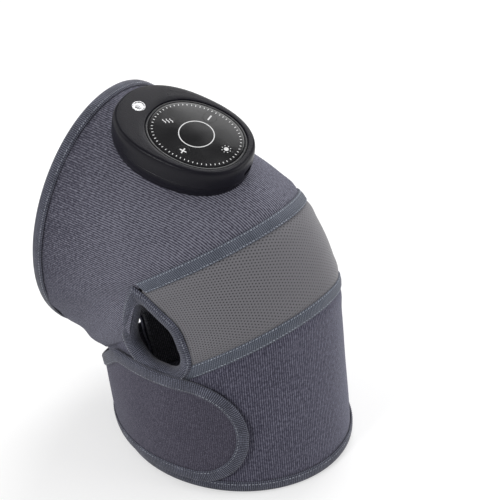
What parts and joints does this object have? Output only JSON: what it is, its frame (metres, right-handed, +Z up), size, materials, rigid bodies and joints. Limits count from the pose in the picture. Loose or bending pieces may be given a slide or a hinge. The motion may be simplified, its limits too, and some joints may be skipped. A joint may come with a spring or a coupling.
{
  "type": "knee massager",
  "caption": "Padded wrap for a bent knee, open at both ends and at the sides of the kneecap, closed behind by straps, with an oval control unit on its thigh side.",
  "frame": {"origin": "below the middle of the object's box, on the surface that the calf cuff stands on", "axes": "+Z up along the calf, +X to the front of the knee, -Y to the outer side of the leg"},
  "size_m": [0.2154, 0.1658, 0.2529],
  "materials": {
    "wrap_fabric": "ribbed knit, blue-grey, brushed face",
    "band_fabric": "grey stretch mesh with fine perforations",
    "elastic_tape": "ribbed elastic tape with light stitching",
    "strap_fabric": "brushed loop fabric, dark grey-violet",
    "hook_tape": "moulded hook tape, black",
    "lining_fabric": "soft brushed lining over thin foam",
    "heater_film": "thin amber film",
    "inner_plastic": "moulded, black, fine texture",
    "housing_plastic": "moulded, dark charcoal, satin",
    "gloss_panel": "piano black with white printed marks",
    "bright_metal": "bright plated",
    "steel": "bright zinc plated",
    "board_laminate": "green solder mask",
    "cell_wrap": "blue film wrap",
    "key_rubber": "moulded silicone, dark grey"
  },
  "bodies": {
    "wrap": {"thigh_panel": "wrap_fabric", "calf_panel": "wrap_fabric", "knee_band": "band_fabric", "upper_seam_tape": "elastic_tape", "lower_seam_tape": "elastic_tape", "thigh_cuff_binding": "elastic_tape", "calf_cuff_binding": "elastic_tape", "lateral_vent_binding": "elastic_tape", "medial_vent_binding": "elastic_tape", "thigh_lining": "lining_fabric", "calf_lining": "lining_fabric", "heating_film": "heater_film", "heater_lead": "heater_film", "mounting_plate": "inner_plastic", "trim_ring": "inner_plastic", "tact_switch_1": "inner_plastic", "tact_switch_2": "inner_plastic", "tact_switch_3": "inner_plastic", "tact_switch_4": "inner_plastic", "tact_switch_5": "inner_plastic", "top_housing": "housing_plastic", "base_housing": "housing_plastic", "control_lens": "gloss_panel", "badge_disc": "bright_metal", "usb_c_socket": "steel", "vibration_motor": "steel", "housing_screw_1": "steel", "housing_screw_2": "steel", "housing_screw_3": "steel", "housing_screw_4": "steel", "mounting_screw_1": "steel", "mounting_screw_2": "steel", "mounting_screw_3": "steel", "mounting_screw_4": "steel", "circuit_board": "board_laminate", "battery": "cell_wrap", "keypad_mat": "key_rubber"},
    "power_key_body": {"power_key": "gloss_panel"},
    "vibration_key_body": {"vibration_key": "gloss_panel"},
    "heat_key_body": {"heat_key": "gloss_panel"},
    "plus_key_body": {"plus_key": "gloss_panel"},
    "minus_key_body": {"minus_key": "gloss_panel"},
    "lower_strap_body": {"lower_strap": "strap_fabric", "lower_strap_binding": "elastic_tape", "lower_strap_hook": "hook_tape"},
    "upper_strap_body": {"upper_strap": "strap_fabric", "upper_strap_binding": "elastic_tape", "upper_strap_hook": "hook_tape"}
  },
  "joints": [
    {"name": "power_press", "type": "slide", "parent": "wrap", "child": "power_key_body", "axis": [-0.2964, 0.208, -0.9321], "range_m": [0, 0.0005], "stiffness_N_per_m": 1500},
    {"name": "vibration_press", "type": "slide", "parent": "wrap", "child": "vibration_key_body", "axis": [-0.2964, 0.208, -0.9321], "range_m": [0, 0.0005], "stiffness_N_per_m": 1500},
    {"name": "heat_press", "type": "slide", "parent": "wrap", "child": "heat_key_body", "axis": [-0.2964, 0.208, -0.9321], "range_m": [0, 0.0005], "stiffness_N_per_m": 1500},
    {"name": "plus_press", "type": "slide", "parent": "wrap", "child": "plus_key_body", "axis": [-0.2964, 0.208, -0.9321], "range_m": [0, 0.0005], "stiffness_N_per_m": 1500},
    {"name": "minus_press", "type": "slide", "parent": "wrap", "child": "minus_key_body", "axis": [-0.2964, 0.208, -0.9321], "range_m": [0, 0.0005], "stiffness_N_per_m": 1500},
    {"name": "lower_strap_open", "type": "hinge", "parent": "wrap", "child": "lower_strap_body", "pos_m": [-0.05733, 0.04315, 0.0196], "axis": [0, 0, -1], "range_deg": [0, 80]},
    {"name": "upper_strap_open", "type": "hinge", "parent": "wrap", "child": "upper_strap_body", "pos_m": [-0.10057, -0.02585, 0.05793], "axis": [-0.957, -0.0526, 0.2854], "range_deg": [0, 50]}
  ]
}
